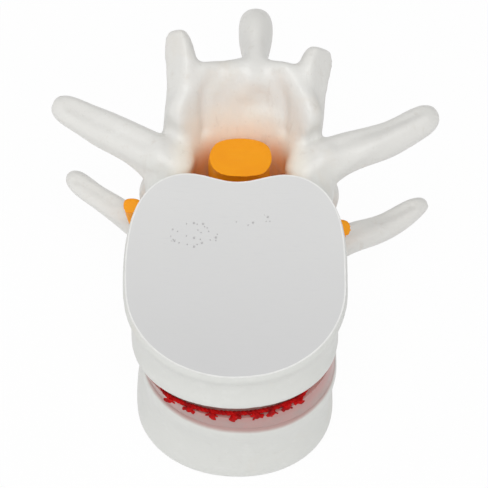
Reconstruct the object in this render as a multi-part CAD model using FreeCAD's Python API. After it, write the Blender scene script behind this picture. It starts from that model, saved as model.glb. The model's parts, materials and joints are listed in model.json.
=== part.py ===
# Life-size lumbar spine model: two painted vertebrae joined by a soft disc,
# with the dural sac, one pair of nerve roots and a knotted cord under the rim.
# It stands upside down: the lower vertebra is on top and shows its sawn face.
#
# Frame: +Z up, -Y the front of the bodies, +X the viewer's right.
# The origin is at the middle of the footprint, on the surface it stands on.
# Each vertebra is shaped in its own frame: z = 0 is its flat end plate on the
# side away from the sawn face, +Z points to the sawn end, +Y to the arch.

import FreeCAD, Part
import math
import os

V = FreeCAD.Vector
X_AXIS = V(1, 0, 0)
Y_AXIS = V(0, 1, 0)
Z_AXIS = V(0, 0, 1)

# Sizes of both vertebral bodies
body_half_width = 26.0
body_front = 20.9            # widest line to the front of the body
body_back = 27.0             # widest line to the back, before the hollow
back_hollow = 3.3            # hollow in the back wall, towards the canal
hollow_spread = 9.0
front_roundness = 2.07
back_roundness = 3.3
outline_points = 24
rim_lip = 0.35               # how far the rolled rims stand out
lower_waist = 0.7
upper_waist = 0.9
lower_taper = 1.4            # each side draws in towards the disc
upper_taper = 1.3
lower_end_inset = 0.5        # end plate edge, inside the rolled rim
upper_end_inset = 0.5

# Lower vertebra, sawn through its body
saw_angle = 22.0
saw_front_height = 13.2
saw_edge_break = 0.35
facet_length = 36.0          # flat of each joint process beside the spine's keel

# Upper vertebra
upper_height = 29.0
upper_wedge = 2.0
upper_scale = 0.965

# Disc and its groove
disc_height = 6.5            # at the middle of the bodies
disc_lean = 7.6
disc_roll = 2.4
disc_shift_x = -1.6
disc_shift_y = 0.9
groove_drop = 4.6            # groove floor under the rim, at the front
groove_depth = 5.0
groove_run = 17.0            # front rim to where the groove closes
nucleus_inset = 9.5          # side of the body to the side of the soft core
nucleus_half_width = body_half_width - nucleus_inset
nucleus_bulge = 1.0          # how far the core stands into the groove

# Knotted cord
cord_radius = 0.95
cord_setback = 1.15          # rim to the cord's middle line
cord_lift = 0.3              # cord to the groove floor
cord_reach = 0.71 * body_half_width
knot_shares = [-0.81, -0.56, -0.27, 0.01, 0.29, 0.48, 0.67, 0.83]
knot_rise = 0.75
knot_stand_off = 0.4
knot_radius = 2.0
knot_waist = 1.15
knot_thickness = 2.2
knot_points = 5

# Dural sac and nerve roots
sac_width = 14.9
sac_depth = 12.6
sac_squareness = 2.7
sac_top = 28.6
sac_bottom = -3.0            # past the end plate of the upper vertebra
root_width = 4.2

# How it stands
stand_tilt = 6.0
foot_reach = 42.0            # middle of the body to the two rear feet
foot_flat = 0.2              # how much of the front rim is rubbed flat
foot_overrun = 0.7


def unit(vector):
    """Return the direction of a vector."""
    return V(vector).multiply(1.0 / vector.Length)


def signed_power(value, power):
    """Return a power of a number's size with the number's own sign."""
    return math.copysign(abs(value) ** power, value)


def closed_spline(points):
    """Return a smooth closed wire through the points."""
    curve = Part.BSplineCurve()
    curve.interpolate(points, PeriodicFlag=True)
    return Part.Wire([curve.toShape()])


def body_outline(placement, grow, narrow=0.0, scale=1.0, stretch=1.0):
    """Return the kidney-shaped outline of a body in a tilted plane."""
    points = []
    half_width = body_half_width * scale + grow - narrow
    for step in range(outline_points):
        angle = 2.0 * math.pi * step / outline_points
        across = math.cos(angle)
        along = math.sin(angle)
        if along < 0:
            power = 2.0 / front_roundness
            reach = (body_front * scale + grow) * stretch
        else:
            power = 2.0 / back_roundness
            reach = (body_back * scale + grow) * stretch
        x = half_width * signed_power(across, power)
        y = reach * signed_power(along, power)
        if along > 0:
            y = y - back_hollow * stretch * math.exp(-(x / hollow_spread) ** 2)
        points.append(placement.multVec(V(x, y, 0)))
    return closed_spline(points)


def loft(wires):
    """Return the smooth solid through a row of closed wires."""
    return Part.makeLoft(wires, True, False)


def plane_at(height, tilt):
    """Return a plane that crosses the body's middle line at a height."""
    return FreeCAD.Placement(V(0, 0, height), FreeCAD.Rotation(X_AXIS, tilt))


def ring(centre, side, rise, width, height, roundness):
    """Return one rounded cross-section of a limb."""
    points = []
    count = 12
    power = 2.0 / roundness
    for step in range(count):
        angle = 2.0 * math.pi * (step + 0.5) / count
        across = 0.5 * width * signed_power(math.cos(angle), power)
        up = 0.5 * height * signed_power(math.sin(angle), power)
        points.append(centre + V(side).multiply(across) + V(rise).multiply(up))
    return closed_spline(points)


def limb(stations, up, roundness=2.3):
    """Return a bony limb through stations of (place, width, height)."""
    centres = [V(*place) for place, width, height in stations]
    last = len(stations) - 1
    wires = []
    for index, (place, width, height) in enumerate(stations):
        before = centres[max(index - 1, 0)]
        after = centres[min(index + 1, last)]
        along = unit(after - before)
        side = unit(up.cross(along))
        rise = along.cross(side)
        wires.append(ring(centres[index], side, rise, width, height, roundness))
    return loft(wires)


def mirrored(stations, middle):
    """Return the stations reflected across a middle plane."""
    return [((2.0 * middle - place[0], place[1], place[2]), width, height)
            for place, width, height in stations]


def fused(shapes):
    """Return one solid from overlapping shapes."""
    whole = shapes[0]
    for shape in shapes[1:]:
        whole = whole.fuse(shape)
    return largest(whole)


def largest(shape):
    """Return the biggest solid of a shape."""
    solids = sorted(shape.Solids, key=lambda solid: solid.Volume)
    return solids[-1]


def half_space(point, normal, size=300.0):
    """Return a big block on the side of a plane that the normal points to."""
    block = Part.makeBox(size, size, size, V(-size / 2, -size / 2, 0))
    turn = FreeCAD.Rotation(Z_AXIS, normal)
    block.Placement = FreeCAD.Placement(point, turn)
    return block


def trimmed_facet(shape, point, normal, along):
    """Shave a flat joint facet on a limb, of the facet's own length."""
    outward = unit(normal)
    length = unit(along)
    across = unit(outward.cross(length))
    turn = FreeCAD.Rotation(across.cross(outward), across, outward, "ZYX")
    block = Part.makeBox(facet_length, 30.0, 10.0, V(-facet_length / 2, -15.0, 0))
    block.Placement = FreeCAD.Placement(point, turn)
    return largest(shape.cut(block))


# Vertebral bodies

def lower_body():
    """Return the sawn body of the lower vertebra."""
    rise = saw_front_height + body_front * math.tan(math.radians(saw_angle))
    stations = [(0.0, -lower_end_inset, 1.0), (0.04, 0.1, 0.9), (0.12, 0.2, 0.8),
                (0.45, -lower_waist, 0.3), (0.75, -0.2, 0.0),
                (0.91, rim_lip + 0.2, 0.0), (1.0, -saw_edge_break, 0.0)]
    wires = []
    for share, grow, taper in stations:
        tilt = saw_angle * share
        stretch = 1.0 / math.cos(math.radians(tilt))
        plane = plane_at(rise * share, tilt)
        wires.append(body_outline(plane, grow, taper * lower_taper, 1.0, stretch))
    return loft(wires)


def upper_body():
    """Return the whole body of the upper vertebra."""
    stations = [(0.0, -1.0, 0.2), (0.04, -0.1, 0.2), (0.11, rim_lip, 0.2),
                (0.50, -upper_waist, 0.6), (0.89, rim_lip, 1.0),
                (0.96, 0.1, 1.0), (1.0, -upper_end_inset, 1.0)]
    wires = []
    for share, grow, taper in stations:
        plane = plane_at(upper_height * share, -upper_wedge * share)
        wires.append(body_outline(plane, grow, taper * upper_taper, upper_scale))
    return loft(wires)


# Lower vertebra

def lower_pedicles():
    """Return the two short bridges from the body to the arch."""
    left = [((-15.0, 14.0, 13.0), 13.0, 19.0), ((-15.8, 24.0, 13.5), 12.0, 17.0),
            ((-16.8, 33.0, 15.5), 12.0, 17.0), ((-16.5, 42.0, 19.0), 10.0, 20.0)]
    return [limb(left, Z_AXIS), limb(mirrored(left, 0.6), Z_AXIS)]


def lower_laminae():
    """Return the two curved plates that close the canal at the back."""
    left = [((-14.0, 41.6, 22.0), 7.4, 22.0), ((-10.4, 45.8, 22.5), 7.4, 32.6),
            ((-5.6, 48.6, 22.9), 7.4, 36.4), ((0.6, 49.5, 23.0), 7.4, 37.2),
            ((4.8, 49.5, 23.1), 7.2, 36.4)]
    right = [((16.8, 41.8, 21.8), 7.4, 22.4), ((13.8, 45.6, 22.6), 7.4, 32.0),
             ((10.2, 48.4, 22.9), 7.4, 36.4), ((5.0, 49.5, 22.9), 7.4, 37.4),
             ((1.2, 49.6, 23.0), 7.2, 36.6)]
    slope = math.radians(17.0)
    up = V(0, math.sin(slope), math.cos(slope))
    return [limb(left, up, 3.0), limb(right, up, 3.0)]


def lower_inferior_processes():
    """Return the two joint processes that stand up beside the spinous one."""
    left = [((-15.4, 39.4, 17.0), 10.0, 11.0), ((-14.6, 45.4, 27.4), 7.6, 8.6),
            ((-13.4, 49.9, 34.6), 8.6, 8.6), ((-14.2, 54.0, 40.0), 8.2, 8.4),
            ((-15.4, 57.8, 44.2), 7.4, 7.0), ((-15.9, 59.4, 46.2), 5.0, 4.2)]
    right = [((17.8, 39.4, 17.0), 10.0, 11.0), ((17.1, 45.4, 27.0), 7.8, 8.6),
             ((17.5, 49.9, 33.4), 8.4, 8.6), ((18.7, 53.8, 37.6), 8.8, 8.2),
             ((20.0, 57.0, 40.4), 8.2, 6.8), ((20.4, 58.6, 41.8), 6.0, 4.2)]
    up = V(0, -1, 0)
    left_limb = trimmed_facet(limb(left, up), V(-15.6, 52.6, 40.8),
                              V(-0.726, -0.460, 0.511), V(0.029, 0.723, 0.690))
    right_limb = trimmed_facet(limb(right, up), V(20.3, 52.8, 38.6),
                               V(0.738, -0.463, 0.489), V(0.005, 0.731, 0.682))
    return [left_limb, right_limb]


def lower_superior_processes():
    """Return the joint processes that reach down beside the disc."""
    left = [((-16.5, 38.4, 17.0), 11.0, 12.0), ((-18.8, 41.2, 9.0), 11.0, 9.0),
            ((-19.8, 42.2, 4.2), 10.4, 8.0), ((-19.8, 42.4, 0.4), 8.0, 6.5),
            ((-19.6, 42.4, -1.8), 4.4, 3.6)]
    return [limb(left, V(0, -1, 0)), limb(mirrored(left, 0.6), V(0, -1, 0))]


def lower_transverse_processes():
    """Return the two thick side wings."""
    left = [((-13.5, 34.5, 19.0), 11.0, 16.0), ((-20.5, 38.2, 23.8), 10.0, 13.0),
            ((-27.0, 41.6, 25.6), 9.0, 10.6), ((-34.5, 45.6, 26.4), 8.6, 9.6),
            ((-41.0, 49.0, 27.6), 7.6, 7.8), ((-44.4, 50.6, 28.2), 6.0, 6.2),
            ((-45.9, 51.2, 28.4), 3.4, 3.6)]
    right = [((14.5, 34.0, 18.0), 11.0, 16.0), ((21.8, 38.0, 22.6), 10.0, 13.0),
             ((29.0, 41.0, 24.2), 9.0, 10.4), ((37.7, 44.2, 25.0), 8.4, 9.4),
             ((44.4, 47.8, 26.6), 8.0, 8.4), ((48.0, 49.8, 27.2), 6.4, 6.6),
             ((49.6, 50.6, 27.3), 3.6, 3.8)]
    return [limb(left, Z_AXIS), limb(right, Z_AXIS)]


def lower_spinous_process():
    """Return the short keel with a rounded knob at its end."""
    stations = [((3.8, 53.2, 31.2), 24.0, 11.0), ((4.0, 55.0, 32.4), 15.0, 16.0),
                ((4.2, 57.8, 33.4), 8.0, 17.2), ((4.2, 61.4, 34.0), 6.0, 16.8),
                ((4.2, 66.5, 34.8), 7.6, 16.6), ((4.2, 71.0, 35.2), 8.8, 14.8),
                ((4.2, 74.1, 35.2), 7.4, 10.4)]
    return limb(stations, Z_AXIS, 2.4)


def lower_vertebra():
    """Return the sawn vertebra in its own frame."""
    parts = [lower_body()]
    parts += lower_pedicles()
    parts += lower_laminae()
    parts += lower_inferior_processes()
    parts += lower_superior_processes()
    parts += lower_transverse_processes()
    parts += [lower_spinous_process()]
    return fused(parts)


# Upper vertebra

def upper_pedicles():
    """Return the two bridges from the body to the arch."""
    left = [((-14.6, 14.0, 11.0), 10.0, 16.0), ((-15.4, 24.0, 11.0), 9.5, 15.0),
            ((-15.8, 33.0, 11.5), 9.5, 15.0), ((-15.0, 42.0, 13.0), 9.0, 17.0)]
    return [limb(left, Z_AXIS), limb(mirrored(left, 0.4), Z_AXIS)]


def upper_laminae():
    """Return the two curved plates at the back of the canal."""
    left = [((-13.4, 40.5, 13.0), 6.6, 18.0), ((-10.4, 44.0, 13.3), 6.3, 21.5),
            ((-5.5, 46.8, 13.6), 6.2, 24.0), ((0.0, 48.0, 14.0), 6.8, 25.0),
            ((3.0, 48.1, 14.1), 6.8, 24.4)]
    right = [((14.2, 40.7, 12.8), 6.6, 18.2), ((11.4, 44.0, 13.2), 6.3, 21.7),
             ((6.6, 46.8, 13.7), 6.2, 24.2), ((0.8, 48.1, 14.0), 6.8, 25.2),
             ((-2.2, 48.2, 14.1), 6.8, 24.6)]
    slope = math.radians(15.0)
    up = V(0, math.sin(slope), math.cos(slope))
    return [limb(left, up, 3.0), limb(right, up, 3.0)]


def upper_inferior_processes():
    """Return the joint processes that meet the lower vertebra."""
    left = [((-13.6, 39.5, 11.0), 10.0, 12.0), ((-11.6, 45.6, 19.0), 9.4, 9.0),
            ((-11.0, 50.2, 25.0), 9.0, 7.6), ((-11.0, 52.8, 29.5), 8.0, 6.6),
            ((-11.0, 53.6, 32.2), 4.6, 3.6)]
    return [limb(left, V(0, -1, 0)), limb(mirrored(left, 0.4), V(0, -1, 0))]


def upper_superior_processes():
    """Return the joint processes that it stands on at the back."""
    drop = (foot_reach + body_front * upper_scale) * math.tan(math.radians(stand_tilt))
    left = [((-15.2, 38.5, 12.0), 10.0, 11.0), ((-16.8, 41.0, 3.0), 10.4, 9.0),
            ((-17.4, foot_reach - 0.2, 3.2 - drop), 9.6, 8.0),
            ((-17.4, foot_reach, -foot_overrun - drop), 6.6, 5.6)]
    return [limb(left, V(0, -1, 0)), limb(mirrored(left, 0.4), V(0, -1, 0))]


def upper_transverse_processes():
    """Return the two slender side wings."""
    left = [((-12.5, 34.5, 14.0), 9.0, 13.0), ((-20.0, 36.0, 18.6), 8.0, 9.0),
            ((-27.5, 39.2, 25.0), 7.0, 7.8), ((-34.0, 43.8, 25.8), 6.4, 6.8),
            ((-40.5, 49.2, 24.6), 6.0, 6.4), ((-44.0, 52.6, 23.8), 5.2, 5.4),
            ((-45.4, 54.0, 23.4), 3.2, 3.4)]
    right = [((13.0, 34.5, 13.0), 9.0, 13.0), ((20.0, 36.2, 17.0), 8.4, 10.0),
             ((27.0, 39.4, 20.2), 7.6, 9.0), ((33.5, 43.2, 18.4), 7.2, 8.4),
             ((40.5, 48.2, 16.0), 6.8, 7.6), ((46.0, 52.4, 16.2), 5.8, 6.4),
             ((49.4, 54.8, 15.8), 3.4, 3.6)]
    return [limb(left, Z_AXIS), limb(right, Z_AXIS)]


def upper_spinous_process():
    """Return the deep keel of the upper vertebra."""
    stations = [((0.4, 46.0, 15.0), 7.0, 18.0), ((0.4, 54.0, 16.0), 5.6, 18.5),
                ((0.4, 63.0, 16.5), 5.4, 19.0), ((0.4, 71.0, 16.5), 6.8, 18.0),
                ((0.4, 75.5, 16.0), 6.6, 14.0), ((0.4, 77.6, 15.8), 4.0, 8.0)]
    return limb(stations, Z_AXIS, 2.6)


def upper_vertebra():
    """Return the whole vertebra in its own frame."""
    parts = [upper_body()]
    parts += upper_pedicles()
    parts += upper_laminae()
    parts += upper_inferior_processes()
    parts += upper_superior_processes()
    parts += upper_transverse_processes()
    parts += [upper_spinous_process()]
    return fused(parts)


# Disc

def disc_outer(upper_frame, lower_frame):
    """Return the disc's full wedge between the two end plates."""
    bottom = body_outline(upper_frame, -upper_end_inset, upper_taper, upper_scale)
    top = body_outline(lower_frame, -lower_end_inset, lower_taper)
    return Part.makeLoft([bottom, top], True, True)


def groove_plane(lower_frame):
    """Return the groove floor: it falls away to the front under the rim."""
    slope = math.degrees(math.atan2(groove_drop, groove_run))
    hinge = V(0, groove_run - body_front, 0)
    floor = FreeCAD.Placement(hinge, FreeCAD.Rotation(X_AXIS, slope))
    return lower_frame.multiply(floor)


def groove(lower_frame):
    """Return the space of the groove round the front of the disc."""
    floor = groove_plane(lower_frame)
    space = Part.makeBox(120.0, 60.0, 20.0, V(-60.0, -60.0, 0))
    space.Placement = floor
    under = lower_frame.multiply(FreeCAD.Placement(V(0, 0, -12.0), FreeCAD.Rotation()))
    over = lower_frame.multiply(FreeCAD.Placement(V(0, 0, 6.0), FreeCAD.Rotation()))
    wall = loft([body_outline(under, -groove_depth), body_outline(over, -groove_depth)])
    return space.cut(wall)


def ellipse_prism(frame_low, frame_high, half_width, half_depth, shift):
    """Return an upright oval column between two planes."""
    wires = []
    for frame in (frame_low, frame_high):
        centre = frame.multVec(V(0, shift, 0))
        side = frame.Rotation.multVec(X_AXIS)
        deep = frame.Rotation.multVec(Y_AXIS)
        wires.append(ring(centre, side, deep, 2 * half_width, 2 * half_depth, 2.0))
    return Part.makeLoft(wires, True, True)


def disc_pieces(upper_frame, lower_frame):
    """Return the grooved ring of the disc and its soft core."""
    front = body_front - groove_depth + nucleus_bulge
    back = 12.5
    half_depth = (front + back) / 2.0
    shift = (back - front) / 2.0
    core = ellipse_prism(upper_frame, lower_frame, nucleus_half_width, half_depth, shift)
    outer = disc_outer(upper_frame, lower_frame)
    annulus = outer.cut(groove(lower_frame)).cut(core)
    return largest(annulus), core


# Knotted cord

def rim_depth(x, inset):
    """Return how far forward the inset rim lies at a given x."""
    share = min(abs(x) / (body_half_width - inset), 0.999)
    reach = body_front - inset
    return -reach * (1.0 - share ** front_roundness) ** (1.0 / front_roundness)


def star(centre, outward, up, turn, size):
    """Return a small star-shaped knot facing outward."""
    side = unit(up.cross(outward))
    rise = outward.cross(side)
    points = []
    for step in range(2 * knot_points):
        angle = math.pi * step / knot_points + turn
        radius = size * (knot_radius if step % 2 == 0 else knot_waist)
        across = V(side).multiply(radius * math.cos(angle))
        above = V(rise).multiply(radius * math.sin(angle))
        points.append(centre + across + above - V(outward).multiply(knot_thickness / 2))
    points.append(points[0])
    face = Part.Face(Part.makePolygon(points))
    return face.extrude(V(outward).multiply(knot_thickness))


def knotted_cord(lower_frame):
    """Return the cord that lies in the groove, with its knots."""
    floor = groove_plane(lower_frame)
    hinge = groove_run - body_front
    front = rim_depth(0.0, cord_setback) - hinge
    side = rim_depth(cord_reach, cord_setback) - hinge
    sag = side - front
    radius = (cord_reach ** 2 + sag ** 2) / (2.0 * sag)
    height = cord_radius + cord_lift
    swing = math.degrees(math.asin(cord_reach / radius))
    circle = Part.makeCircle(cord_radius, V(0, front, height), X_AXIS)
    profile = Part.Face(Part.Wire([circle]))
    profile.rotate(V(0, front + radius, height), Z_AXIS, -swing)
    tube = profile.revolve(V(0, front + radius, height), Z_AXIS, 2.0 * swing)
    knots = []
    for number, share in enumerate(knot_shares):
        x = share * cord_reach
        turn = math.asin(x / radius)
        outward = V(math.sin(turn), -math.cos(turn), 0)
        headroom = (rim_depth(x, cord_setback) - hinge) / front
        middle = V(0, front + radius, height + knot_rise * headroom ** 2)
        centre = middle + V(outward).multiply(radius + knot_stand_off)
        knots.append(star(centre, outward, Z_AXIS, 0.5 + 0.7 * number, headroom ** 1.5))
    cord = fused([tube] + knots)
    cord.Placement = floor
    return cord


# Dural sac and nerve roots

def dural_sac(upper_frame, lower_frame):
    """Return the oval tube that runs through both canals, cut flat at each end."""
    rows = [(upper_frame, -0.6, 28.9, sac_bottom), (upper_frame, -0.6, 28.8, 8.0),
            (upper_frame, -0.5, 29.2, 20.0), (upper_frame, -0.4, 31.8, 34.0),
            (lower_frame, 1.1, 33.6, 12.0), (lower_frame, 0.9, 33.8, sac_top)]
    wires = []
    for frame, x, y, z in rows:
        deep = frame.Rotation.multVec(Y_AXIS)
        across = frame.Rotation.multVec(X_AXIS)
        wires.append(ring(frame.multVec(V(x, y, z)), across, deep, sac_width, sac_depth,
                          sac_squareness))
    return loft(wires)


def nerve_root(points, up):
    """Return one nerve root as a slightly flattened tube."""
    stations = [((p.x, p.y, p.z), root_width, root_width * 0.86) for p in points]
    return limb(stations, up, 3.0)


def build():
    """Return every piece in the standing frame, by name."""
    upper_frame = FreeCAD.Placement(V(0, 0, 0), FreeCAD.Rotation(X_AXIS, stand_tilt))
    rim_frame = upper_frame.multiply(plane_at(upper_height, -upper_wedge))
    lean = FreeCAD.Rotation(X_AXIS, -disc_lean)
    roll = FreeCAD.Rotation(Y_AXIS, -disc_roll)
    step = FreeCAD.Placement(V(disc_shift_x, disc_shift_y, disc_height), lean.multiply(roll))
    lower_frame = rim_frame.multiply(step)

    lower = lower_vertebra()
    lower.Placement = lower_frame
    upper = upper_vertebra()
    upper.Placement = upper_frame
    annulus, core = disc_pieces(rim_frame, lower_frame)
    cord = knotted_cord(lower_frame)

    sac = dural_sac(upper_frame, lower_frame)
    left_points = [upper_frame.multVec(V(-2.0, 31.0, 17.0)),
                   upper_frame.multVec(V(-9.5, 31.0, 23.5)),
                   upper_frame.multVec(V(-17.0, 30.6, 29.5)),
                   lower_frame.multVec(V(-23.0, 32.6, 1.8)),
                   lower_frame.multVec(V(-25.6, 33.4, 7.8)),
                   lower_frame.multVec(V(-26.0, 31.0, 13.2))]
    right_points = [upper_frame.multVec(V(2.4, 31.0, 16.0)),
                    upper_frame.multVec(V(9.9, 31.0, 21.5)),
                    upper_frame.multVec(V(17.0, 30.6, 27.0)),
                    lower_frame.multVec(V(22.8, 31.8, -4.2)),
                    lower_frame.multVec(V(25.8, 33.0, 1.4)),
                    lower_frame.multVec(V(26.8, 30.8, 6.0))]
    roots = [nerve_root(left_points, Y_AXIS), nerve_root(right_points, Y_AXIS)]
    nerve = fused([sac] + roots)
    nerve = largest(nerve.cut(upper).cut(lower))

    pieces = {
        "lower_vertebra": lower,
        "upper_vertebra": upper,
        "disc_annulus": annulus,
        "disc_nucleus": core,
        "fibre_cord": cord,
        "dural_sac": nerve,
    }
    return pieces


def seated(pieces):
    """Set the pieces down on z = 0 with the footprint's middle at the origin."""
    box = FreeCAD.BoundBox()
    for shape in pieces.values():
        box.add(shape.optimalBoundingBox(False, False))
    body = upper_body()
    body.Placement = FreeCAD.Placement(V(0, 0, 0), FreeCAD.Rotation(X_AXIS, stand_tilt))
    floor = body.optimalBoundingBox(False, False).ZMin + foot_flat
    below = half_space(V(0, 0, floor), V(0, 0, -1), 400.0)
    pieces["upper_vertebra"] = largest(pieces["upper_vertebra"].cut(below))
    for shape in pieces.values():
        shape.translate(V(-box.Center.x, -box.Center.y, -floor))
    return pieces


def main():
    """Write one file for each piece."""
    os.makedirs("parts", exist_ok=True)
    pieces = seated(build())
    for name, shape in pieces.items():
        shape.exportStep("parts/" + name + ".step")
        box = shape.BoundBox
        print(name, "solids", len(shape.Solids), "valid", shape.isValid(),
              "volume %.0f" % shape.Volume,
              "box %.1f %.1f %.1f" % (box.XLength, box.YLength, box.ZLength))


main()
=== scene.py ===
# Looks of a life-size lumbar spine model: two painted vertebrae on a soft disc,
# with the dural sac, one pair of nerve roots and a knotted cord under the rim.
# Lengths are in metres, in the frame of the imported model, where nothing else is said.

import json
import math

import bmesh
import bpy
from mathutils import Matrix, Vector

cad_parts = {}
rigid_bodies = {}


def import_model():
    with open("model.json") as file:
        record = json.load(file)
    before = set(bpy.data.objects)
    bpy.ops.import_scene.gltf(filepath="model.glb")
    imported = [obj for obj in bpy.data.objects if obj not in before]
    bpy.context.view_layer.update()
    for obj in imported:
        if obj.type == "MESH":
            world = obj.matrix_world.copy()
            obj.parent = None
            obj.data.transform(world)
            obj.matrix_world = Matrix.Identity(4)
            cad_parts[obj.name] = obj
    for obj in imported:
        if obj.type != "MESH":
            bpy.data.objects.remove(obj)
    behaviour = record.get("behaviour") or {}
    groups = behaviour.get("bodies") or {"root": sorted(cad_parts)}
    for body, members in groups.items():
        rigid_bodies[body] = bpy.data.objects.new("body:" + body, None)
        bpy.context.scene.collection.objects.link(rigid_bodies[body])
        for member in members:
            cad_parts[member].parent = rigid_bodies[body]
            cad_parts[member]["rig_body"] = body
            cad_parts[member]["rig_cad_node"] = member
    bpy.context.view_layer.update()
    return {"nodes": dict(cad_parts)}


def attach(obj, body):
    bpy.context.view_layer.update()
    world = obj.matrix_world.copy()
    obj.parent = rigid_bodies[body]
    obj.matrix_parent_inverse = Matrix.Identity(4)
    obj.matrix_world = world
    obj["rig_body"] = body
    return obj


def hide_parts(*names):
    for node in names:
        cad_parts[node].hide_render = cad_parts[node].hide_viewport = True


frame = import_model()

bl_info = {
    "name": "Lumbar spine model",
    "version": (1, 0, 0),
    "blender": (4, 5, 0),
    "location": "View3D > Sidebar > Spine",
    "description": "Builds the painted vertebrae, the disc, the sac and the knotted cord",
    "category": "Add Mesh",
}

MM = 0.001

# The sawn vertebra's own frame: its origin is the middle of the end plate on the
# disc, its +Z points to the sawn face and its +Y to the arch.
LOWER_ORIGIN = Vector((-2.15, -28.24, 37.19)) * MM
LOWER_TURN = (Matrix.Rotation(math.radians(-3.6), 3, "X")
              @ Matrix.Rotation(math.radians(-2.4), 3, "Y"))
SAW_TURN = math.radians(22.0)
SAW_FRONT = Vector((0.0, -20.9, 13.2)) * MM

# The standing vertebra's own frame, whose +Z leans to the front.
UPPER_ORIGIN = Vector((-0.5502, -25.6497, 1.8037)) * MM
UPPER_TURN = Matrix.Rotation(math.radians(6.0), 3, "X")


def from_lower(point):
    """Return the world place of a point in the sawn vertebra's frame."""
    return LOWER_ORIGIN + LOWER_TURN @ Vector(point)


SAW_NORMAL = LOWER_TURN @ Vector((0.0, -math.sin(SAW_TURN), math.cos(SAW_TURN)))
SAW_POINT = from_lower(SAW_FRONT)

# The groove under the sawn vertebra's rim, whose floor falls away to the front.
BODY_FRONT = 20.9 * MM
BODY_HALF_WIDTH = 26.0 * MM
FRONT_ROUNDNESS = 2.07
GROOVE_RUN = 17.0 * MM
GROOVE_DROP = 4.6 * MM
GROOVE_SLOPE = math.atan2(GROOVE_DROP, GROOVE_RUN)

# A face lies on a plane when its middle is this near to it and it faces the
# same way, by at least this cosine.
PLANE_REACH = 0.0002
SAME_WAY = 0.98

# The y in the sawn vertebra's frame where its arch starts, and the length that
# the saw takes off its body.
ARCH_START = 0.030
SAW_ALLOWANCE = 0.003

# The gap across which vertices merge, the share of its way that a vertex flows
# in one pass, and the passes that even out the sawn outline.
MERGE_REACH = 0.000004
FLOW_FACTOR = 0.5
OUTLINE_PASSES = 12

# A sculpted line fades out at so many times its width, and moves nothing that is
# further than its reach from its first point.
SCULPT_FADE = 3.0
SCULPT_REACH = 0.030


# Shader building blocks

class Socket:
    """A value in a shader; arithmetic on it adds Math nodes."""

    def __init__(self, material, socket):
        self.material = material
        self.socket = socket

    def maths(self, operation, *others, clamp=False):
        """Return this value joined with others by one Math node."""
        settings = {"operation": operation, "use_clamp": clamp}
        inputs = {0: self}
        for number, other in enumerate(others):
            inputs[number + 1] = other
        return self.material.node("ShaderNodeMath", settings, inputs)

    def __add__(self, other):
        return self.maths("ADD", other)

    def __radd__(self, other):
        return self.maths("ADD", other)

    def __sub__(self, other):
        return self.maths("SUBTRACT", other)

    def __rsub__(self, other):
        return (self * -1.0) + other

    def __mul__(self, other):
        return self.maths("MULTIPLY", other)

    def __truediv__(self, other):
        return self.maths("DIVIDE", other)

    def clamped(self):
        """Return this value held between 0 and 1."""
        return self.maths("ADD", 0.0, clamp=True)

    def ramp(self, low, high):
        """Return 0 below low and 1 above high, with a soft step between."""
        settings = {"interpolation_type": "SMOOTHSTEP", "clamp": True}
        inputs = {"Value": self, "From Min": low, "From Max": high}
        return self.material.node("ShaderNodeMapRange", settings, inputs)


class Finish:
    """A procedural material under construction."""

    # Sockets of the Mix node when it mixes colours.
    MIX_SHARE = 0
    MIX_FIRST = 6
    MIX_SECOND = 7
    MIX_RESULT = 2

    def __init__(self, name):
        self.block = bpy.data.materials.new(name)
        self.block.use_nodes = True
        self.tree = self.block.node_tree
        self.shader = self.tree.nodes["Principled BSDF"]

    def node(self, kind, settings=None, inputs=None, output=0):
        """Add a node, set its settings first and then its sockets."""
        made = self.tree.nodes.new(kind)
        for name, value in (settings or {}).items():
            setattr(made, name, value)
        for name, value in (inputs or {}).items():
            self.feed(made.inputs[name], value)
        return Socket(self, made.outputs[output])

    def feed(self, socket, value):
        """Link a value to a socket, or set a constant on it."""
        if isinstance(value, Socket):
            self.tree.links.new(value.socket, socket)
        else:
            socket.default_value = value

    def set(self, **values):
        """Set or link the shader's sockets by name, with _ for a space."""
        for name, value in values.items():
            self.feed(self.shader.inputs[name.replace("_", " ")], value)

    def place(self, origin=None, turn=None):
        """Return object coordinates, if asked in a turned and moved frame."""
        coords = self.node("ShaderNodeTexCoord", output="Object")
        if origin is None:
            return coords
        settings = {"vector_type": "TEXTURE"}
        inputs = {"Vector": coords, "Location": origin, "Rotation": turn}
        return self.node("ShaderNodeMapping", settings, inputs)

    def part(self, vector, axis):
        """Return one component of a vector."""
        return self.node("ShaderNodeSeparateXYZ", None, {0: vector}, output=axis)

    def cloud(self, vector, scale, detail, roughness, distortion=0.0):
        """Return a noise value between 0 and 1."""
        inputs = {"Vector": vector, "Scale": scale, "Detail": detail,
                  "Roughness": roughness, "Distortion": distortion}
        return self.node("ShaderNodeTexNoise", None, inputs)

    def cells(self, vector, scale):
        """Return the distance to the nearest cell point, across X and Y."""
        settings = {"feature": "F1", "voronoi_dimensions": "2D"}
        inputs = {"Vector": vector, "Scale": scale}
        return self.node("ShaderNodeTexVoronoi", settings, inputs, "Distance")

    def mix(self, share, first, second):
        """Return a colour between two colours."""
        settings = {"data_type": "RGBA", "clamp_factor": True}
        inputs = {self.MIX_SHARE: share, self.MIX_FIRST: first, self.MIX_SECOND: second}
        return self.node("ShaderNodeMix", settings, inputs, self.MIX_RESULT)

    def stretch(self, vector, scale, turn=(0.0, 0.0, 0.0)):
        """Return coordinates scaled by different amounts along each axis."""
        inputs = {"Vector": vector, "Scale": scale, "Rotation": turn}
        return self.node("ShaderNodeMapping", None, inputs)

    def bump(self, height, distance, strength):
        """Feed a height, times a distance in metres, to the normal."""
        inputs = {"Height": height, "Distance": distance, "Strength": strength}
        self.set(Normal=self.node("ShaderNodeBump", None, inputs))


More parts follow.
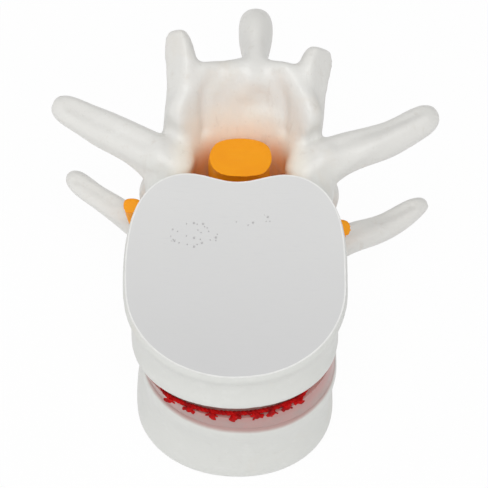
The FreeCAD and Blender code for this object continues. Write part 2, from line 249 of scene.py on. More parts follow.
def shade(red, green, blue):
    """Return a linear colour from display values between 0 and 255."""
    linear = []
    for value in (red, green, blue):
        share = value / 255.0
        if share <= 0.04045:
            linear.append(share / 12.92)
        else:
            linear.append(((share + 0.055) / 1.055) ** 2.4)
    return (*linear, 1.0)


# Sizes and colours that a user would change

class CastingSettings(bpy.types.PropertyGroup):
    """Sizes and colours of the two painted vertebrae."""
    grain: bpy.props.FloatProperty(
        name="Grain", description="Size of the smallest form on the castings",
        default=0.0006, min=0.0003, max=0.002, subtype="DISTANCE", unit="LENGTH")
    smoothing: bpy.props.IntProperty(
        name="Smoothing", description="How far the fused limbs flow into each other",
        default=24, min=0, max=80)
    paint: bpy.props.FloatVectorProperty(
        name="Paint", description="Colour of the painted casting",
        default=shade(231, 230, 226)[:3], size=3, min=0.0, max=1.0, subtype="COLOR")
    sanded: bpy.props.FloatVectorProperty(
        name="Sanded face", description="Colour of the sawn and sanded face",
        default=shade(214, 214, 215)[:3], size=3, min=0.0, max=1.0, subtype="COLOR")


class SoftSettings(bpy.types.PropertyGroup):
    """Sizes and colours of the disc, the sac and the cord."""
    disc: bpy.props.FloatVectorProperty(
        name="Disc", description="Colour of the soft disc wall",
        default=shade(186, 146, 141)[:3], size=3, min=0.0, max=1.0, subtype="COLOR")
    core: bpy.props.FloatVectorProperty(
        name="Core", description="Colour of the core behind the slit",
        default=shade(146, 40, 34)[:3], size=3, min=0.0, max=1.0, subtype="COLOR")
    thread: bpy.props.FloatVectorProperty(
        name="Cord", description="Colour of the knotted cord",
        default=shade(196, 6, 6)[:3], size=3, min=0.0, max=1.0, subtype="COLOR")
    nerve: bpy.props.FloatVectorProperty(
        name="Nerve", description="Colour of the sac and the nerve roots",
        default=shade(255, 164, 0)[:3], size=3, min=0.0, max=1.0, subtype="COLOR")
    thread_radius: bpy.props.FloatProperty(
        name="Cord radius", description="Radius of the twisted cord",
        default=0.00058, min=0.0003, max=0.002, subtype="DISTANCE", unit="LENGTH")
    knot_radius: bpy.props.FloatProperty(
        name="Knot radius", description="Reach of a knot's tufts from its middle",
        default=0.0017, min=0.0008, max=0.003, subtype="DISTANCE", unit="LENGTH")


class StageSettings(bpy.types.PropertyGroup):
    """Sizes and levels of the floor, the lamps and the camera."""
    floor_size: bpy.props.FloatProperty(
        name="Floor", description="Width of the pale floor",
        default=4.0, min=0.5, max=20.0, subtype="DISTANCE", unit="LENGTH")
    lamp_level: bpy.props.FloatProperty(
        name="Lamp level", description="Strength of the soft lamps together",
        default=1.0, min=0.0, max=4.0, subtype="FACTOR")
    lens: bpy.props.FloatProperty(
        name="Lens", description="Focal length of the camera, in millimetres",
        default=136.62, min=20.0, max=300.0)


# Tools for shaping pieces

def deselect_all():
    """Go back to object mode and leave nothing selected."""
    if bpy.context.object and bpy.context.object.mode != "OBJECT":
        bpy.ops.object.mode_set(mode="OBJECT")
    bpy.ops.object.select_all(action="DESELECT")


def pick(piece):
    """Make one piece the selected and active one."""
    deselect_all()
    piece.hide_set(False)
    piece.select_set(True)
    bpy.context.view_layer.objects.active = piece


def edit(piece):
    """Open a piece in edit mode with nothing selected."""
    pick(piece)
    bpy.ops.object.mode_set(mode="EDIT")
    bpy.ops.mesh.select_mode(type="FACE")
    bpy.ops.mesh.select_all(action="DESELECT")


def leave_edit():
    """Go back to object mode."""
    bpy.ops.object.mode_set(mode="OBJECT")


def choose_faces(piece, test):
    """Select the faces of an open piece that pass a test, and count them."""
    mesh = bmesh.from_edit_mesh(piece.data)
    found = 0
    for face in mesh.faces:
        face.select = test(face)
        found += face.select
    bmesh.update_edit_mesh(piece.data)
    return found


def apply_modifier(piece, kind, **settings):
    """Add a modifier to a piece and apply it."""
    pick(piece)
    modifier = piece.modifiers.new(kind.title(), kind)
    for name, value in settings.items():
        setattr(modifier, name, value)
    bpy.ops.object.modifier_apply(modifier=modifier.name)


def copy_of_node(node, name):
    """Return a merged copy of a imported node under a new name."""
    pick(frame["nodes"][node])
    bpy.ops.object.duplicate()
    piece = bpy.context.object
    piece.name = name
    piece.data.name = name
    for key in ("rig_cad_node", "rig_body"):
        if key in piece:
            del piece[key]
    piece.data.materials.clear()
    edit(piece)
    bpy.ops.mesh.select_all(action="SELECT")
    bpy.ops.mesh.remove_doubles(threshold=MERGE_REACH)
    bpy.ops.mesh.customdata_custom_splitnormals_clear()
    leave_edit()
    return piece


def joined(pieces):
    """Join pieces into the first of them and return it."""
    deselect_all()
    for piece in pieces:
        piece.select_set(True)
    bpy.context.view_layer.objects.active = pieces[0]
    bpy.ops.object.join()
    return pieces[0]


def flat_at(point, normal):
    """Return a test for faces that lie on a plane."""
    def test(face):
        off = (face.calc_center_median() - point).dot(normal)
        return abs(off) < PLANE_REACH and face.normal.dot(normal) > SAME_WAY
    return test


def in_body(face):
    """Tell whether a face belongs to the body and not to the arch behind it."""
    local = LOWER_TURN.transposed() @ (face.calc_center_median() - LOWER_ORIGIN)
    return local.y < ARCH_START


def lengthen_flat(piece, point, normal, amount):
    """Push the flat end at a plane outwards."""
    edit(piece)
    if not choose_faces(piece, flat_at(point, normal)):
        raise RuntimeError(piece.name + " has no flat end there")
    bpy.ops.mesh.extrude_region_move(
        TRANSFORM_OT_translate={"value": normal * amount})
    leave_edit()


def even_outline(piece, passes):
    """Even out the outline of the sawn face, inside its own plane."""
    mesh = piece.data
    flat = max((face for face in mesh.polygons
                if face.normal.dot(SAW_NORMAL) > SAME_WAY
                and abs((face.center - SAW_POINT).dot(SAW_NORMAL)) < PLANE_REACH),
               key=lambda face: face.area)
    loop = [mesh.vertices[number] for number in flat.vertices]
    for _ in range(passes):
        places = [vertex.co.copy() for vertex in loop]
        for number, vertex in enumerate(loop):
            after = places[(number + 1) % len(loop)]
            vertex.co = 0.5 * places[number] + 0.25 * (places[number - 1] + after)


def saw_body(piece):
    """Cut the body at the saw's plane and close it with one flat face."""
    edit(piece)
    choose_faces(piece, in_body)
    bpy.ops.mesh.bisect(plane_co=SAW_POINT, plane_no=SAW_NORMAL, use_fill=True,
                        clear_outer=True, clear_inner=False)
    leave_edit()
    even_outline(piece, OUTLINE_PASSES)


def sculpt(piece, line, width, depth=0.0, shift=(0.0, 0.0, 0.0),
           origin=LOWER_ORIGIN, turn=LOWER_TURN):
    """Press the skin in along a line, or shift it.

    Places and sizes are in millimetres, in the casting's own frame, and a
    negative depth raises the skin."""
    points = [origin + turn @ (Vector(spot) * MM) for spot in line]
    width *= MM
    depth *= MM
    move = turn @ (Vector(shift) * MM)
    normals = [vertex.normal.copy() for vertex in piece.data.vertices]
    for vertex, normal in zip(piece.data.vertices, normals):
        if (vertex.co - points[0]).length > SCULPT_REACH:
            continue
        gap = 1.0
        for start, end in zip(points, points[1:]):
            run = end - start
            share = (vertex.co - start).dot(run) / run.length_squared
            near = start + run * min(max(share, 0.0), 1.0)
            gap = min(gap, (vertex.co - near).length)
        if gap < SCULPT_FADE * width:
            fade = math.exp(-(gap / width) ** 2)
            vertex.co += fade * (move - depth * normal)


def relief(piece, strokes, origin, turn):
    """Sculpt groups of lines, each group with its own width and depth."""
    for lines, width, depth in strokes:
        for line in lines:
            sculpt(piece, line, width, depth, origin=origin, turn=turn)


def remeshed(piece, grain):
    """Turn a piece into one even skin, so that fused limbs have no seams."""
    pick(piece)
    piece.data.remesh_voxel_size = grain
    piece.data.remesh_voxel_adaptivity = 0.0
    bpy.ops.object.voxel_remesh()


def rounded(piece, passes):
    """Let the skin flow, as paint and moulding do at inside corners."""
    apply_modifier(piece, "SMOOTH", factor=FLOW_FACTOR, iterations=passes)


def flow_near(piece, spots, reach, passes):
    """Let the skin flow only round a few spots of the sawn vertebra.

    The spots are in millimetres in its own frame, and the reach is in metres."""
    centres = [from_lower([value * MM for value in spot]) for spot in spots]
    group = piece.vertex_groups.new(name="flow")
    for vertex in piece.data.vertices:
        gap = min((vertex.co - centre).length for centre in centres)
        if gap < reach:
            group.add([vertex.index], 1.0 - (gap / reach) ** 2, "REPLACE")
    apply_modifier(piece, "SMOOTH", factor=FLOW_FACTOR, iterations=passes,
                   vertex_group=group.name)
    piece.vertex_groups.clear()


def give(piece, *finishes):
    """Give a piece its finishes, in slot order."""
    piece.data.materials.clear()
    for finish in finishes:
        piece.data.materials.append(finish.block)


def shade_smooth(piece, angle=35.0):
    """Shade a piece smooth, with edges sharper than an angle kept."""
    pick(piece)
    bpy.ops.object.shade_smooth_by_angle(angle=math.radians(angle))


def settle(piece, node):
    """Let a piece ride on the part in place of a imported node."""
    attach(piece, "root")
    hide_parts(node)


# Finishes

# Where a casting's colour changes, in its own frame: the painted warm reflection of the
# orange sac round the canal, which fades upwards and spares the middle, the arch behind the
# body, whose paint is lighter than the body's painted shade, and the front, where the disc
# shows through the rim.
REFLECTION_HALF_WIDTH = 0.0128
REFLECTION_HALF_DEPTH = 0.0120
REFLECTION_FADE = 0.009
REFLECTION_SIDES = (0.003, 0.009)
ARCH_BAND = (0.026, 0.036)
FRONT_BAND = (0.018, 0.026)


def canal_reflection(wide, across, depth, height, canal):
    """Return how near a spot is to the canal, and how strong the painted reflection of the
    orange sac is there.
    """
    middle_x, middle_y, start = canal
    off_x = (across - middle_x) / REFLECTION_HALF_WIDTH
    off_y = (depth - middle_y) / REFLECTION_HALF_DEPTH
    ring = off_x * off_x + off_y * off_y + (wide - 0.5) * 0.9
    near = 1.0 - ring.ramp(0.9, 2.1)
    aside = (across - middle_x).maths("ABSOLUTE").ramp(*REFLECTION_SIDES) * 0.88 + 0.12
    deep = near * aside * (1.0 - height.ramp(start - REFLECTION_FADE, start))
    return near, deep


def painted_casting(name, origin, turn, canal, paint, soft_rim=None):
    """White painted casting, with a painted warm reflection of the orange sac inside the
    canal and painted shade on its body.

    The canal is its middle, x and y, and the height at which the painted reflection starts.
    The soft rim is the height from which the disc's pink shows through."""
    shaded_body_white = shade(222, 223, 219)
    cream_bounce_light = shade(255, 250, 236)
    amber_reflection = shade(252, 178, 92)
    worn_brown = shade(190, 176, 160)
    dust = shade(222, 210, 192)
    speck_grey = shade(200, 196, 190)
    gloss_white = shade(247, 247, 245)
    disc_pink = shade(182, 146, 141)
    finish = Finish(name)
    where = finish.place()
    local = finish.place(origin, turn)
    across, depth, height = (finish.part(local, axis) for axis in "XYZ")
    wide = finish.cloud(where, 45.0, 5.0, 0.6, 0.4)
    fine = finish.cloud(where, 260.0, 4.0, 0.6)
    brush = finish.cloud(finish.stretch(where, (900.0, 260.0, 260.0)), 1.0, 3.0, 0.5)
    streak = finish.cloud(finish.stretch(local, (420.0, 420.0, 70.0)), 1.0, 4.0, 0.6)
    grit = finish.cloud(where, 1100.0, 2.0, 0.6)
    specks = finish.cloud(where, 620.0, 1.0, 0.4).ramp(0.70, 0.76)
    near, deep = canal_reflection(wide, across, depth, height, canal)
    arch = depth.ramp(*ARCH_BAND)
    # The body's greyer white is painted shade; the arch keeps the lighter paint.
    colour = finish.mix(arch, shaded_body_white, (*paint, 1.0))
    # Painted light: a warm, brighter bounce on the canal walls and the arch round the canal.
    colour = finish.mix(near * 0.7, colour, cream_bounce_light)
    # Painted reflection: the orange sac's light on the canal walls beside it, fading
    # upwards.
    colour = finish.mix(deep * 0.85, colour, amber_reflection)
    colour = finish.mix(streak.ramp(0.56, 0.76) * arch * 0.2, colour, worn_brown)
    colour = finish.mix(wide.ramp(0.56, 0.76) * 0.3, colour, dust)
    colour = finish.mix(specks * 0.1, colour, speck_grey)
    colour = finish.mix(fine.ramp(0.5, 0.85) * 0.25, colour, gloss_white)
    if soft_rim:
        front = 1.0 - depth.ramp(*FRONT_BAND)
        level = height + (wide - 0.5) * 0.0011
        pink = level.ramp(soft_rim - 0.0006, soft_rim + 0.0008) * front
        colour = finish.mix(pink * 0.95, colour, disc_pink)
    finish.set(Base_Color=colour, Roughness=0.3 + wide * 0.16 + fine * 0.08,
               Coat_Weight=0.15, Coat_Roughness=0.25, Specular_IOR_Level=0.5)
    finish.bump(wide * 0.5 + fine * 0.3 + brush * 0.2 + grit * 0.15 - specks * 0.1,
                0.00045, 0.8)
    return finish


def pit_patch(across, depth, middle, reach):
    """Return 1 in an oval patch of the sawn face, 0 outside it."""
    off_x = (across - middle[0] * MM) / (reach[0] * MM)
    off_y = (depth - middle[1] * MM) / (reach[1] * MM)
    return 1.0 - (off_x * off_x + off_y * off_y).ramp(0.7, 1.1)


def sanded_face(colour):
    """Flat grey resin with faint sanding marks, painted shade that darkens it towards the
    front, and two groups of air pits with painted shade in them.
    """
    shaded_front_grey = shade(206, 206, 206)
    lit_back_grey = shade(221, 221, 220)
    mark_grey = shade(202, 202, 204)
    pit_shade_grey = shade(158, 157, 156)
    face_length = 0.042
    finish = Finish("sanded_resin")
    local = finish.place(LOWER_ORIGIN, LOWER_TURN.to_euler())
    across, depth = (finish.part(local, axis) for axis in "XY")
    wide = finish.cloud(local, 30.0, 4.0, 0.6)
    marks = finish.cloud(finish.stretch(local, (260.0, 2400.0, 260.0), (0.0, 0.0, 0.5)),
                         1.0, 3.0, 0.6)
    flat = finish.stretch(local, (1.0, 1.0, 0.0))
    pit = 1.0 - finish.cells(flat, 340.0).ramp(0.04, 0.11)
    small = 1.0 - finish.cells(finish.stretch(flat, (1.3, 1.1, 1.0)), 430.0).ramp(0.03, 0.09)
    patch = (pit_patch(across, depth, (-9.6, 11.0), (6.4, 3.4))
             + pit_patch(across, depth, (4.6, 14.6), (5.4, 1.5))).clamped()
    pits = (pit + small).clamped() * patch
    # Painted shade: the flat face drawn darker towards its front and lighter towards the
    # back.
    painted_light_slope = depth / face_length + 0.5
    grey = finish.mix(painted_light_slope.clamped(), shaded_front_grey, lit_back_grey)
    tone = finish.mix(wide.ramp(0.3, 0.75) * 0.3, grey, (*colour, 1.0))
    scratched = finish.mix(marks.ramp(0.55, 0.8) * 0.2, tone, mark_grey)
    # The air pits are real; their darker grey is painted shade in their hollows.
    shown = finish.mix(pits * 0.5, scratched, pit_shade_grey)
    finish.set(Base_Color=shown, Roughness=0.5 + wide * 0.12, Specular_IOR_Level=0.35)
    finish.bump(marks * 0.25 - pits * 1.5, 0.00012, 0.8)
    return finish


def sawn_edge_highlight():
    """Thin pale line where the edge of the sawn face was broken with sandpaper, painted pale
    as the highlight on that rounded edge.
    """
    edge_highlight_white = shade(236, 236, 234)
    edge_highlight_grey = shade(226, 226, 224)
    finish = Finish("broken_edge_highlight")
    fine = finish.cloud(finish.place(), 500.0, 3.0, 0.6)
    # Both pale greys are painted highlight on the flat ring that stands in for the rounded
    # edge.
    tone = finish.mix(fine.ramp(0.3, 0.8), edge_highlight_white, edge_highlight_grey)
    finish.set(Base_Color=tone, Roughness=0.42 + fine * 0.2)
    finish.bump(fine, 0.0001, 0.6)
    return finish


def disc_wall(colour):
    """Soft translucent wall, blotched grey and pink, with a painted red reflection of the
    cord under the sawn rim.
    """
    wall_grey = shade(174, 148, 143)
    blotch_pink = shade(198, 142, 142)
    rim_red_reflection = shade(190, 130, 124)
    red_reflection_start = 0.0315
    red_reflection_end = 0.0345
    finish = Finish("disc_wall")
    where = finish.place()
    local = finish.place(UPPER_ORIGIN, UPPER_TURN.to_euler())
    height = finish.part(local, "Z")
    wide = finish.cloud(where, 120.0, 4.0, 0.6, 0.5)
    blotch = finish.cloud(where, 260.0, 3.0, 0.6, 0.8)
    fine = finish.cloud(where, 700.0, 3.0, 0.6)
    body = finish.mix(wide.ramp(0.35, 0.7), (*colour, 1.0), wall_grey)
    spotted = finish.mix(blotch.ramp(0.55, 0.75) * 0.6, body, blotch_pink)
    # Painted red reflection of the cord on the wall's top, under the sawn rim.
    top = (height + (wide - 0.5) * 0.0012).ramp(red_reflection_start, red_reflection_end)
    shown = finish.mix(top * 0.6, spotted, rim_red_reflection)
    finish.set(Base_Color=shown, Roughness=0.34 + fine * 0.2,
               Coat_Weight=0.3, Coat_Roughness=0.2, Subsurface_Weight=0.2,
               Subsurface_Radius=(1.0, 0.45, 0.35), Subsurface_Scale=0.002)
    finish.bump(wide * 0.6 + fine * 0.4, 0.0002, 0.7)
    return finish


def disc_core(colour):
    """Deep red glossy filling with a lumpy skin."""
    lump_pink = shade(186, 112, 100)
    finish = Finish("disc_core")
    where = finish.place()
    lumps = finish.cloud(where, 320.0, 4.0, 0.6, 0.6)
    fine = finish.cloud(where, 1400.0, 2.0, 0.5)
    tone = finish.mix(lumps.ramp(0.35, 0.7), (*colour, 1.0), lump_pink)
    finish.set(Base_Color=tone, Roughness=0.22 + fine * 0.2, Coat_Weight=0.4,
               Coat_Roughness=0.15)
    finish.bump(lumps * 0.8 + fine * 0.2, 0.0005, 0.9)
    return finish


def knotted_thread(colour):
    """Bright red cotton cord in darker and lighter patches, with fine fibres."""
    dark_red = shade(150, 8, 14)
    fibre_red = shade(222, 30, 26)
    finish = Finish("red_cord")
    where = finish.place()
    fibre = finish.cloud(finish.stretch(where, (3000.0, 3000.0, 1200.0)), 1.0, 3.0, 0.6)
    wide = finish.cloud(where, 500.0, 2.0, 0.5)
    tone = finish.mix(wide.ramp(0.4, 0.7), (*colour, 1.0), dark_red)
    shown = finish.mix(fibre.ramp(0.6, 0.9) * 0.4, tone, fibre_red)
    finish.set(Base_Color=shown, Roughness=0.65 + fibre * 0.25,
               Specular_IOR_Level=0.2)
    finish.bump(fibre, 0.00025, 0.9)
    return finish


def nerve_resin(colour):
    """Orange resin with fine lines across, as the sandpaper left them."""
    deep_orange = shade(252, 158, 0)
    line_yellow = shade(255, 186, 40)
    finish = Finish("nerve_resin")
    where = finish.place()
    lines = finish.cloud(finish.stretch(where, (120.0, 2600.0, 900.0)), 1.0, 3.0, 0.6)
    wide = finish.cloud(where, 130.0, 4.0, 0.6)
    fine = finish.cloud(where, 900.0, 3.0, 0.6)
    tone = finish.mix(wide.ramp(0.35, 0.75), (*colour, 1.0), deep_orange)
    shown = finish.mix(lines.ramp(0.5, 0.85) * 0.3, tone, line_yellow)
    finish.set(Base_Color=shown, Roughness=0.38 + fine * 0.2 + lines * 0.1,
               Specular_IOR_Level=0.35)
    finish.bump(lines * 0.5 + fine * 0.3 + wide * 0.2, 0.0002, 0.7)
    return finish


# Relief on the castings

# Places on the sawn vertebra, in its own frame and in millimetres: the canal's
# corners under the wings, and the grooves, the raised fan between them and the
# lifted borders on the flat back of its arch.
WING_ROOTS = ((-10.8, 35.5, 25.5), (12.0, 35.0, 25.0))
GROOVES = (((-3.3, 53.2, 40.8), (-5.7, 51.0, 39.5), (-8.1, 49.0, 37.0),
            (-8.5, 46.6, 33.0), (-8.0, 44.3, 27.0)),
           ((7.2, 52.1, 40.3), (9.2, 50.5, 38.6), (11.0, 48.9, 36.0),
            (11.4, 46.7, 32.0), (11.2, 44.1, 27.6)))
FAN = ((1.6, 53.0, 40.5), (1.7, 49.8, 36.0))
BORDERS = (((-8.0, 53.0, 40.5), (-10.5, 53.0, 40.0)),
           ((11.5, 52.8, 40.0), (14.0, 52.8, 39.0)))

# Lines along the wings, from the tips inwards, each casting's in its own frame.
SAWN_RIDGES = (((-43.4, 46.1, 28.7), (-31.2, 38.9, 27.2), (-21.2, 33.1, 25.9)),
               ((46.1, 46.5, 30.4), (33.7, 39.1, 28.0), (24.7, 33.9, 23.7)))
SAWN_TROUGHS = (((-41.3, 47.7, 31.3), (-28.7, 40.2, 30.5), (-23.0, 37.4, 30.1)),
                ((43.7, 47.9, 30.8), (30.5, 42.1, 29.4), (25.0, 38.8, 29.2)))
STANDING_RIDGES = (((-44.3, 49.0, 25.6), (-39.4, 44.4, 26.2), (-31.9, 38.6, 27.9)),
                   ((46.9, 50.6, 18.8), (40.5, 45.9, 19.6), (29.4, 37.7, 23.6)))
STANDING_TROUGHS = (((-43.3, 50.3, 27.1), (-38.2, 46.7, 28.4), (-33.6, 43.0, 29.3)),
                    ((45.2, 51.7, 19.5), (39.2, 48.4, 19.9), (28.6, 40.1, 24.6)))

# The lines of each kind of relief, with its width and depth in millimetres, and
# the width and shift of the lifted borders.
SAWN_RELIEF = ((GROOVES, 1.5, 0.9), ((FAN,), 3.2, -0.9),
               (SAWN_TROUGHS, 2.5, 1.1), (SAWN_RIDGES, 1.6, -0.6))
STANDING_RELIEF = ((STANDING_TROUGHS, 1.6, 0.7), (STANDING_RIDGES, 1.1, -0.5))
BORDER_WIDTH = 2.8
BORDER_LIFT = (0.0, 0.0, 1.9)

# How far round a spot the skin flows and in how many passes, and the passes over
# a whole casting after its relief.
ROOT_FLOW = (0.009, 300)
BORDER_FLOW = (0.0045, 50)
SAWN_FLOW = 5
STANDING_FLOW = 3

# The sawn vertebra's material slots after its paint, and the width of its broken edge's
# painted highlight.
SANDED_SLOT = 1
EDGE_HIGHLIGHT_SLOT = 2
EDGE_HIGHLIGHT_WIDTH = 0.00035


def shape_arch(piece):
    """Give the sawn vertebra the grooves, borders and wing forms of its arch."""
    flow_near(piece, WING_ROOTS, *ROOT_FLOW)
    relief(piece, SAWN_RELIEF, LOWER_ORIGIN, LOWER_TURN)
    for line in BORDERS:
        sculpt(piece, line, BORDER_WIDTH, shift=BORDER_LIFT)
    spots = [spot for line in (*BORDERS, *GROOVES) for spot in line[:2]]
    flow_near(piece, spots, *BORDER_FLOW)
    rounded(piece, SAWN_FLOW)


def mark_sawn_face(piece):
    """Assign the sanded finish to the sawn face, and the painted edge highlight to a thin
    ring.
    """
    on_plane = flat_at(SAW_POINT, SAW_NORMAL)

    def on_face(face):
        return on_plane(face) and in_body(face)

    def on_highlight_ring(face):
        return on_face(face) and len(face.verts) == 4

    edit(piece)
    choose_faces(piece, on_face)
    piece.active_material_index = SANDED_SLOT
    bpy.ops.object.material_slot_assign()
    bpy.ops.mesh.inset(thickness=EDGE_HIGHLIGHT_WIDTH, depth=0.0)
    choose_faces(piece, on_highlight_ring)
    piece.active_material_index = EDGE_HIGHLIGHT_SLOT
    bpy.ops.object.material_slot_assign()
    leave_edit()


# Pieces

# The middle of each canal, x and y, and the height at which its painted reflection of the
# sac starts, in its vertebra's frame, and the height from which the disc's pink shows.
SAWN_CANAL = (0.0008, 0.0335, 0.026)
STANDING_CANAL = (-0.0005, 0.030, 0.040)
SOFT_RIM_START = 0.0283

# The size of the smallest form on the sac, and the passes that smooth it.
SAC_GRAIN = 0.00042
SAC_SMOOTHING = 5


class SPINE_OT_sawn_vertebra(bpy.types.Operator):
    """Build the upper casting, whose body is sawn through and sanded flat"""
    bl_idname = "spine.sawn_vertebra"
    bl_label = "Sawn vertebra"

    def execute(self, context):
        settings = context.scene.spine_casting
        piece = copy_of_node("lower_vertebra", "sawn_vertebra")
        lengthen_flat(piece, SAW_POINT, SAW_NORMAL, SAW_ALLOWANCE)
        remeshed(piece, settings.grain)
        rounded(piece, settings.smoothing)
        shape_arch(piece)
        saw_body(piece)
        paint = painted_casting("white_paint_sawn", LOWER_ORIGIN, LOWER_TURN.to_euler(),
                                SAWN_CANAL, settings.paint)
        give(piece, paint, sanded_face(settings.sanded), sawn_edge_highlight())
        shade_smooth(piece)
        mark_sawn_face(piece)
        settle(piece, "lower_vertebra")
        return {"FINISHED"}


class SPINE_OT_standing_vertebra(bpy.types.Operator):
    """Build the casting that stands on its front rim and its two joint tips"""
    bl_idname = "spine.standing_vertebra"
    bl_label = "Standing vertebra"

    def execute(self, context):
        settings = context.scene.spine_casting
        piece = copy_of_node("upper_vertebra", "standing_vertebra")
        remeshed(piece, settings.grain)
        rounded(piece, settings.smoothing)
        relief(piece, STANDING_RELIEF, UPPER_ORIGIN, UPPER_TURN)
        rounded(piece, STANDING_FLOW)
        paint = painted_casting("white_paint_standing", UPPER_ORIGIN,
                                UPPER_TURN.to_euler(), STANDING_CANAL,
                                settings.paint, SOFT_RIM_START)
        give(piece, paint)
        shade_smooth(piece)
        settle(piece, "upper_vertebra")
        return {"FINISHED"}


class SPINE_OT_disc(bpy.types.Operator):
    """Finish the soft disc wall and the dark core behind its slit"""
    bl_idname = "spine.disc"
    bl_label = "Disc"

    def execute(self, context):
        settings = context.scene.spine_soft
        wall = frame["nodes"]["disc_annulus"]
        core = frame["nodes"]["disc_nucleus"]
        give(wall, disc_wall(settings.disc))
        give(core, disc_core(settings.core))
        return {"FINISHED"}


class SPINE_OT_nerves(bpy.types.Operator):
    """Build the dural sac with its flat end and its pair of nerve roots"""
    bl_idname = "spine.nerves"
    bl_label = "Dural sac and roots"

    def execute(self, context):
        settings = context.scene.spine_soft
        piece = copy_of_node("dural_sac", "sac_and_roots")
        remeshed(piece, SAC_GRAIN)
        rounded(piece, SAC_SMOOTHING)
        give(piece, nerve_resin(settings.nerve))
        shade_smooth(piece)
        settle(piece, "dural_sac")
        return {"FINISHED"}


# The cord's three plies, with their radius and their distance from its middle as
# shares of its radius, its turns, and the share of its half length from which its
# end turns in.
PLIES = 3
PLY_RADIUS = 0.56
PLY_OFFSET = 0.47
PLY_SIDES = 10
PLY_CUTS = 150
CORD_TURNS = 13.0
TUCK_START = 0.82

# The knots' places as shares of the cord's reach, how far they hang out of the
# cord and below it, the power of the headroom that their size follows, and the
# turn of the first knot and from each to the next, in radians.
KNOT_SHARES = (-0.81, -0.56, -0.27, 0.01, 0.29, 0.48, 0.67, 0.83)
KNOT_OUT = 0.8 * MM
KNOT_DROP = 0.4 * MM
KNOT_SHRINK = 0.35
FIRST_SPIN = 0.5
NEXT_SPIN = 0.7

# A knot's body and tufts as shares of its size, how unevenly the tufts stand
# round it and lean back, and the cosine that bounds the faces of one tuft.
KNOT_BODY = 0.55
TUFTS = 5
TUFT_LENGTH = 0.5
TUFT_SHIFT = 0.3
TUFT_LEAN = 0.3
TUFT_SPREAD = 0.95


def rim_depth(x, inset):
    """Return the y of the rim, moved in by an inset, at a given x."""
    share = abs(x) / (BODY_HALF_WIDTH - inset)
    reach = BODY_FRONT - inset
    return -reach * (1.0 - share ** FRONT_ROUNDNESS) ** (1.0 / FRONT_ROUNDNESS)


class CordPath:
    """The arc that the cord follows along the groove's floor."""

    def __init__(self):
        self.hinge = GROOVE_RUN - BODY_FRONT
        self.setback = 1.15 * MM
        self.reach = 0.71 * BODY_HALF_WIDTH
        self.front = rim_depth(0.0, self.setback) - self.hinge
        sag = rim_depth(self.reach, self.setback) - self.hinge - self.front
        self.bend = (self.reach ** 2 + sag ** 2) / (2.0 * sag)
        self.length = 2.0 * self.bend * math.asin(self.reach / self.bend)
        self.height = 1.1 * MM
        self.tuck = 1.6 * MM
        self.place = (Matrix.Translation(from_lower((0.0, self.hinge, 0.0)))
                      @ (LOWER_TURN @ Matrix.Rotation(GROOVE_SLOPE, 3, "X")).to_4x4())

    def headroom(self, x):
        """Return how much of the groove's full height is left at a given x."""
        return (rim_depth(x, self.setback) - self.hinge) / self.front


def straight_ply(number, radius, length):
    """Return one straight ply, set off from the cord's middle line."""
    turn = number * math.tau / PLIES
    offset = PLY_OFFSET * radius
    bpy.ops.mesh.primitive_cylinder_add(
        vertices=PLY_SIDES, radius=PLY_RADIUS * radius, depth=length,
        location=(0.0, offset * math.cos(turn), offset * math.sin(turn)),
        rotation=(0.0, math.pi / 2.0, 0.0))
    ply = bpy.context.object
    edit(ply)
    bpy.ops.mesh.select_mode(type="EDGE")
    mesh = bmesh.from_edit_mesh(ply.data)
    for edge in mesh.edges:
        edge.select = edge.calc_length() > 0.5 * length
    bmesh.update_edit_mesh(ply.data)
    bpy.ops.mesh.subdivide(number_cuts=PLY_CUTS)
    leave_edit()
    bpy.ops.object.transform_apply(location=True, rotation=True, scale=True)
    return ply


def lay_along(cord, path):
    """Bend a straight cord along the path, with its ends turned in."""
    for vertex in cord.data.vertices:
        along, out, rise = vertex.co
        turn = along / path.bend
        past = abs(along) / (0.5 * path.length) - TUCK_START
        end = max(0.0, past) / (1.0 - TUCK_START)
        reach = path.bend - out - path.tuck * end * end
        vertex.co = path.place @ Vector((
            reach * math.sin(turn), path.front + path.bend - reach * math.cos(turn),
            path.height + rise))


def twisted_cord(path, radius):
    """Return the plies, twisted together and laid along the path."""
    deselect_all()
    cord = joined([straight_ply(number, radius, path.length) for number in range(PLIES)])
    apply_modifier(cord, "SIMPLE_DEFORM", deform_method="TWIST", deform_axis="X",
                   angle=math.tau * CORD_TURNS)
    lay_along(cord, path)
    cord.name = "knotted_cord"
    return cord


def knot_form(size, number):
    """Return one lumpy overhand knot with short tufts, at the origin."""
    deselect_all()
    bpy.ops.mesh.primitive_ico_sphere_add(subdivisions=2, radius=KNOT_BODY * size)
    knot = bpy.context.object
    edit(knot)
    tips = []
    for step in range(TUFTS):
        turn = (step + TUFT_SHIFT * math.sin(2.3 * step + number)) * math.tau / TUFTS
        tips.append(Vector((math.cos(turn), -TUFT_LEAN, math.sin(turn))).normalized())
    choose_faces(knot, lambda face: any(face.normal.dot(tip) > TUFT_SPREAD for tip in tips))
    bpy.ops.mesh.extrude_region_shrink_fatten(
        TRANSFORM_OT_shrink_fatten={"value": TUFT_LENGTH * size})
    bpy.ops.mesh.select_all(action="SELECT")
    bpy.ops.mesh.subdivide(number_cuts=1, smoothness=0.5)
    bpy.ops.mesh.vertices_smooth(factor=0.4, repeat=1)
    leave_edit()
    return knot


